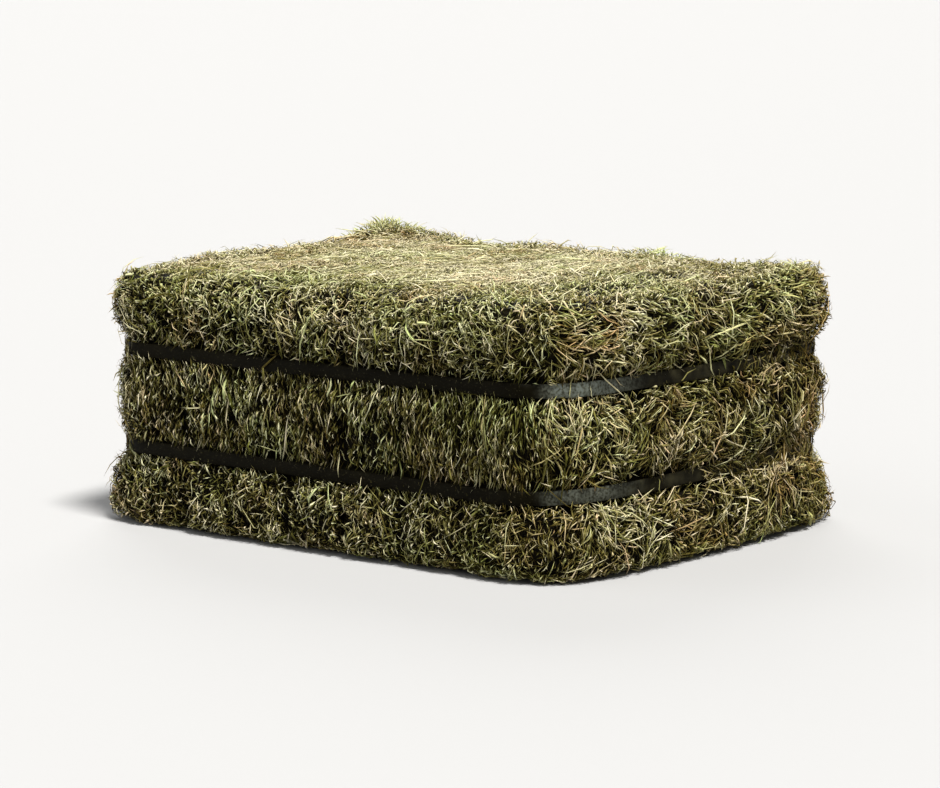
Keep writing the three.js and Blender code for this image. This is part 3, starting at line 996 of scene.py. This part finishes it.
def strap_material():
    """Black embossed plastic with a film of dust, and over the ends more dust as a painted sheen; scuffed grey
    with a painted highlight on the corners where it is drawn tight and bends.
    """
    nodes = Nodes("strap_plastic")
    place = nodes.place()
    film = nodes.noise(place, 55.0, 4.0)
    specks = nodes.noise(place, 620.0, 2.0)
    grains = nodes.noise(place, 330.0, 3.0)
    dust_and_sheen_share = nodes.math("ADD", 0.015, nodes.math("MULTIPLY", nodes.attribute("dusty_sheen"), 0.22))
    dust_and_sheen = nodes.math("MULTIPLY", nodes.stretch(film, 0.38, 0.68), dust_and_sheen_share)
    crumbs = nodes.math("MULTIPLY", nodes.stretch(specks, 0.66, 0.72), 0.35)
    scuff_and_highlight_grain = nodes.stretch(grains, 0.36, 0.62, 0.22, 1.15)
    scuff_and_highlight = nodes.math("MULTIPLY", nodes.attribute("scuff_and_highlight"), nodes.math("ADD", 0.36, film))
    scuff_and_highlight = nodes.math("MULTIPLY", scuff_and_highlight, scuff_and_highlight_grain)
    grime_and_sheen = nodes.math("MAXIMUM", nodes.math("MAXIMUM", dust_and_sheen, scuff_and_highlight), crumbs)
    # Painted sheen and highlight: the dust over the ends and the grey scuffs on the corners lighten the black.
    colour = nodes.mix(grime_and_sheen, STRAP_BLACK, STRAP_DUST_SHEEN)
    colour = nodes.mix(nodes.math("MULTIPLY", scuff_and_highlight, 0.8), colour, STRAP_SCUFFED_HIGHLIGHT)
    rough = nodes.math("ADD", 0.34, nodes.math("MULTIPLY", grime_and_sheen, 0.5))
    along = nodes.attribute("weave_u")
    across = nodes.attribute("weave_v")
    lines = []
    for operation in ("ADD", "SUBTRACT"):
        turns = nodes.math("MULTIPLY", nodes.math(operation, along, across), WEAVE_TURNS)
        lines.append(nodes.math("SINE", turns, 0.0))
    weave = nodes.math("MULTIPLY", *lines)
    nodes.shade(Base_Color=colour, Roughness=rough, Specular_IOR_Level=0.03)
    nodes.shade(Normal=nodes.bump(weave, 0.5, 0.0003))
    return nodes.material


def floor_material():
    nodes = Nodes("floor")
    nodes.shade(Base_Color=FLOOR_COLOUR, Roughness=0.9, Specular_IOR_Level=0.1)
    return nodes.material


def strap_route(node):
    """The inner line of a strap, all the way round from the middle of its weld, how far along it each of its
    places is, and its height."""
    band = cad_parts[node]
    low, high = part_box(node)
    height = (low.z + high.z) / 2
    start = math.atan2(high.y, WELD_MIDDLE[node])
    hits = []
    for turn in np.linspace(0.0, 2 * math.pi, STRAP_RAYS + 1)[:-1]:
        ray = Vector((math.cos(start + turn), math.sin(start + turn), 0.0))
        found, place, _, _ = band.ray_cast(Vector((0.0, 0.0, height)), ray)
        if found:
            hits.append((place.x, place.y))
    line = np.array(hits)
    for _ in range(STRAP_SMOOTHINGS):
        line = (np.roll(line, 1, axis=0) + 2 * line + np.roll(line, -1, axis=0)) / 4
    closed = np.vstack([line, line[:1]])
    travelled = np.concatenate([[0.0], np.cumsum(np.linalg.norm(np.diff(closed, axis=0), axis=1))])
    return closed, travelled, height


def corner_scuff_and_highlight(x, y):
    """How scuffed a strap is at a place, with its painted highlight: most on the two corners where it was
    drawn tight and bends.
    """
    turned = y * (1 if x > 0 else -1)
    start = rising(abs(x), *SCUFF_AND_HIGHLIGHT_ALONG)
    return float(start * (1.0 - rising(turned, *SCUFF_AND_HIGHLIGHT_ACROSS)))


def strap_section(width, thickness):
    """Half-round edged outline of a flat band, as steps outwards and upwards, anticlockwise."""
    half = width / 2
    edge = thickness / 2
    return [(0.0, -half + edge), (edge, -half), (thickness, -half + edge), (thickness * 1.04, 0.0),
            (thickness, half - edge), (edge, half), (0.0, half - edge)]


def strap_object(node, material):
    """One band wound round the bale, its end lapped over its start and pressed down at the weld."""
    closed, travelled, height = strap_route(node)
    around = travelled[-1]
    low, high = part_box(node)
    section = strap_section(high.z - low.z, STRAP_THICKNESS)
    stations = np.linspace(-WELD_LENGTH / 2, around + WELD_LENGTH / 2, STRAP_STATIONS)
    mesh = bmesh.new()
    layers = [mesh.verts.layers.float.new(name) for name in ("weave_u", "weave_v", "scuff_and_highlight", "dusty_sheen")]

    def place_at(length):
        at = length % around
        return np.interp(at, travelled, closed[:, 0]), np.interp(at, travelled, closed[:, 1])

    rings = []
    for length in stations:
        x, y = place_at(length)
        ahead = place_at(length % around + 0.004)
        behind = place_at(length % around - 0.004)
        along = Vector((ahead[0] - behind[0], ahead[1] - behind[1], 0.0)).normalized()
        out = Vector((along.y, -along.x, 0.0))
        lapped = float(rising(length, around - WELD_LENGTH / 2, WELD_FADE))
        sway = 0.0006 * math.sin(length * 9.0) + 0.0003 * math.sin(length * 31.0)
        scuff_and_highlight = corner_scuff_and_highlight(x, y) * SCUFF_AND_HIGHLIGHT_STRENGTH[node]
        # More dust over the ends, partly a painted sheen where the strap catches the light.
        dusty_sheen = float(rising(abs(x), *DUST_AND_SHEEN))
        ring = []
        for step_out, step_up in section:
            lift = step_out + lapped * STRAP_THICKNESS * 1.05
            vertex = mesh.verts.new(Vector((x, y, height + step_up + sway)) + out * lift)
            for layer, value in zip(layers, (length, step_up, scuff_and_highlight, dusty_sheen)):
                vertex[layer] = value
            ring.append(vertex)
        rings.append(ring)
    for first, second in zip(rings, rings[1:]):
        for k in range(len(section)):
            after = (k + 1) % len(section)
            mesh.faces.new((first[k], second[k], second[after], first[after]))
    mesh.faces.new(list(reversed(rings[0])))
    mesh.faces.new(rings[-1])
    bmesh.ops.recalc_face_normals(mesh, faces=mesh.faces)
    data = bpy.data.meshes.new(node + "_band")
    mesh.to_mesh(data)
    mesh.free()
    data.polygons.foreach_set("use_smooth", [True] * len(data.polygons))
    band = link_object(node + "_band", data, material)
    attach(band, "root")
    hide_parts(node)


def build_stage():
    """A wide pale floor."""
    bpy.ops.mesh.primitive_plane_add(size=60.0, location=(0.0, 0.0, 0.0))
    floor = bpy.context.object
    floor.name = "floor"
    floor.data.materials.append(floor_material())


def direction_from(azimuth, elevation):
    around, up = math.radians(azimuth), math.radians(elevation)
    return Vector((math.sin(around) * math.cos(up), -math.cos(around) * math.cos(up), math.sin(up)))


def build_lights():
    """The distant lights and a dim sky."""
    for name, azimuth, elevation, strength, softness, colour in LIGHTS:
        light = bpy.data.lights.new(name, "SUN")
        light.energy = strength
        light.angle = math.radians(softness)
        light.color = colour
        lamp = link_object(name, light)
        lamp.rotation_euler = direction_from(azimuth, elevation).to_track_quat("Z", "Y").to_euler()
    world = bpy.data.worlds.new("studio")
    world.use_nodes = True
    background = world.node_tree.nodes["Background"]
    background.inputs["Color"].default_value = SKY_COLOUR
    background.inputs["Strength"].default_value = SKY_STRENGTH
    bpy.context.scene.world = world


def build_camera():
    data = bpy.data.cameras.new("camera")
    data.lens = VIEW_LENS
    data.sensor_width = VIEW_SENSOR
    camera = link_object("camera", data)
    back = direction_from(VIEW_AZIMUTH, VIEW_ELEVATION)
    camera.location = Vector((0.0, 0.0, AIM_HEIGHT)) + back * VIEW_DISTANCE
    camera.rotation_euler = back.to_track_quat("Z", "Y").to_euler()
    bpy.context.scene.camera = camera


def main():
    build_stage()
    build_lights()
    build_camera()
    skin = Skin()
    hay = hay_material()
    plastic = strap_material()
    rng = np.random.default_rng(BALE_SEED)
    for node in FLAKES:
        dress_flake(skin, node, hay, rng)
    for node in STRAPS:
        strap_object(node, plastic)
    bpy.context.scene.view_settings.view_transform = "Standard"


main()
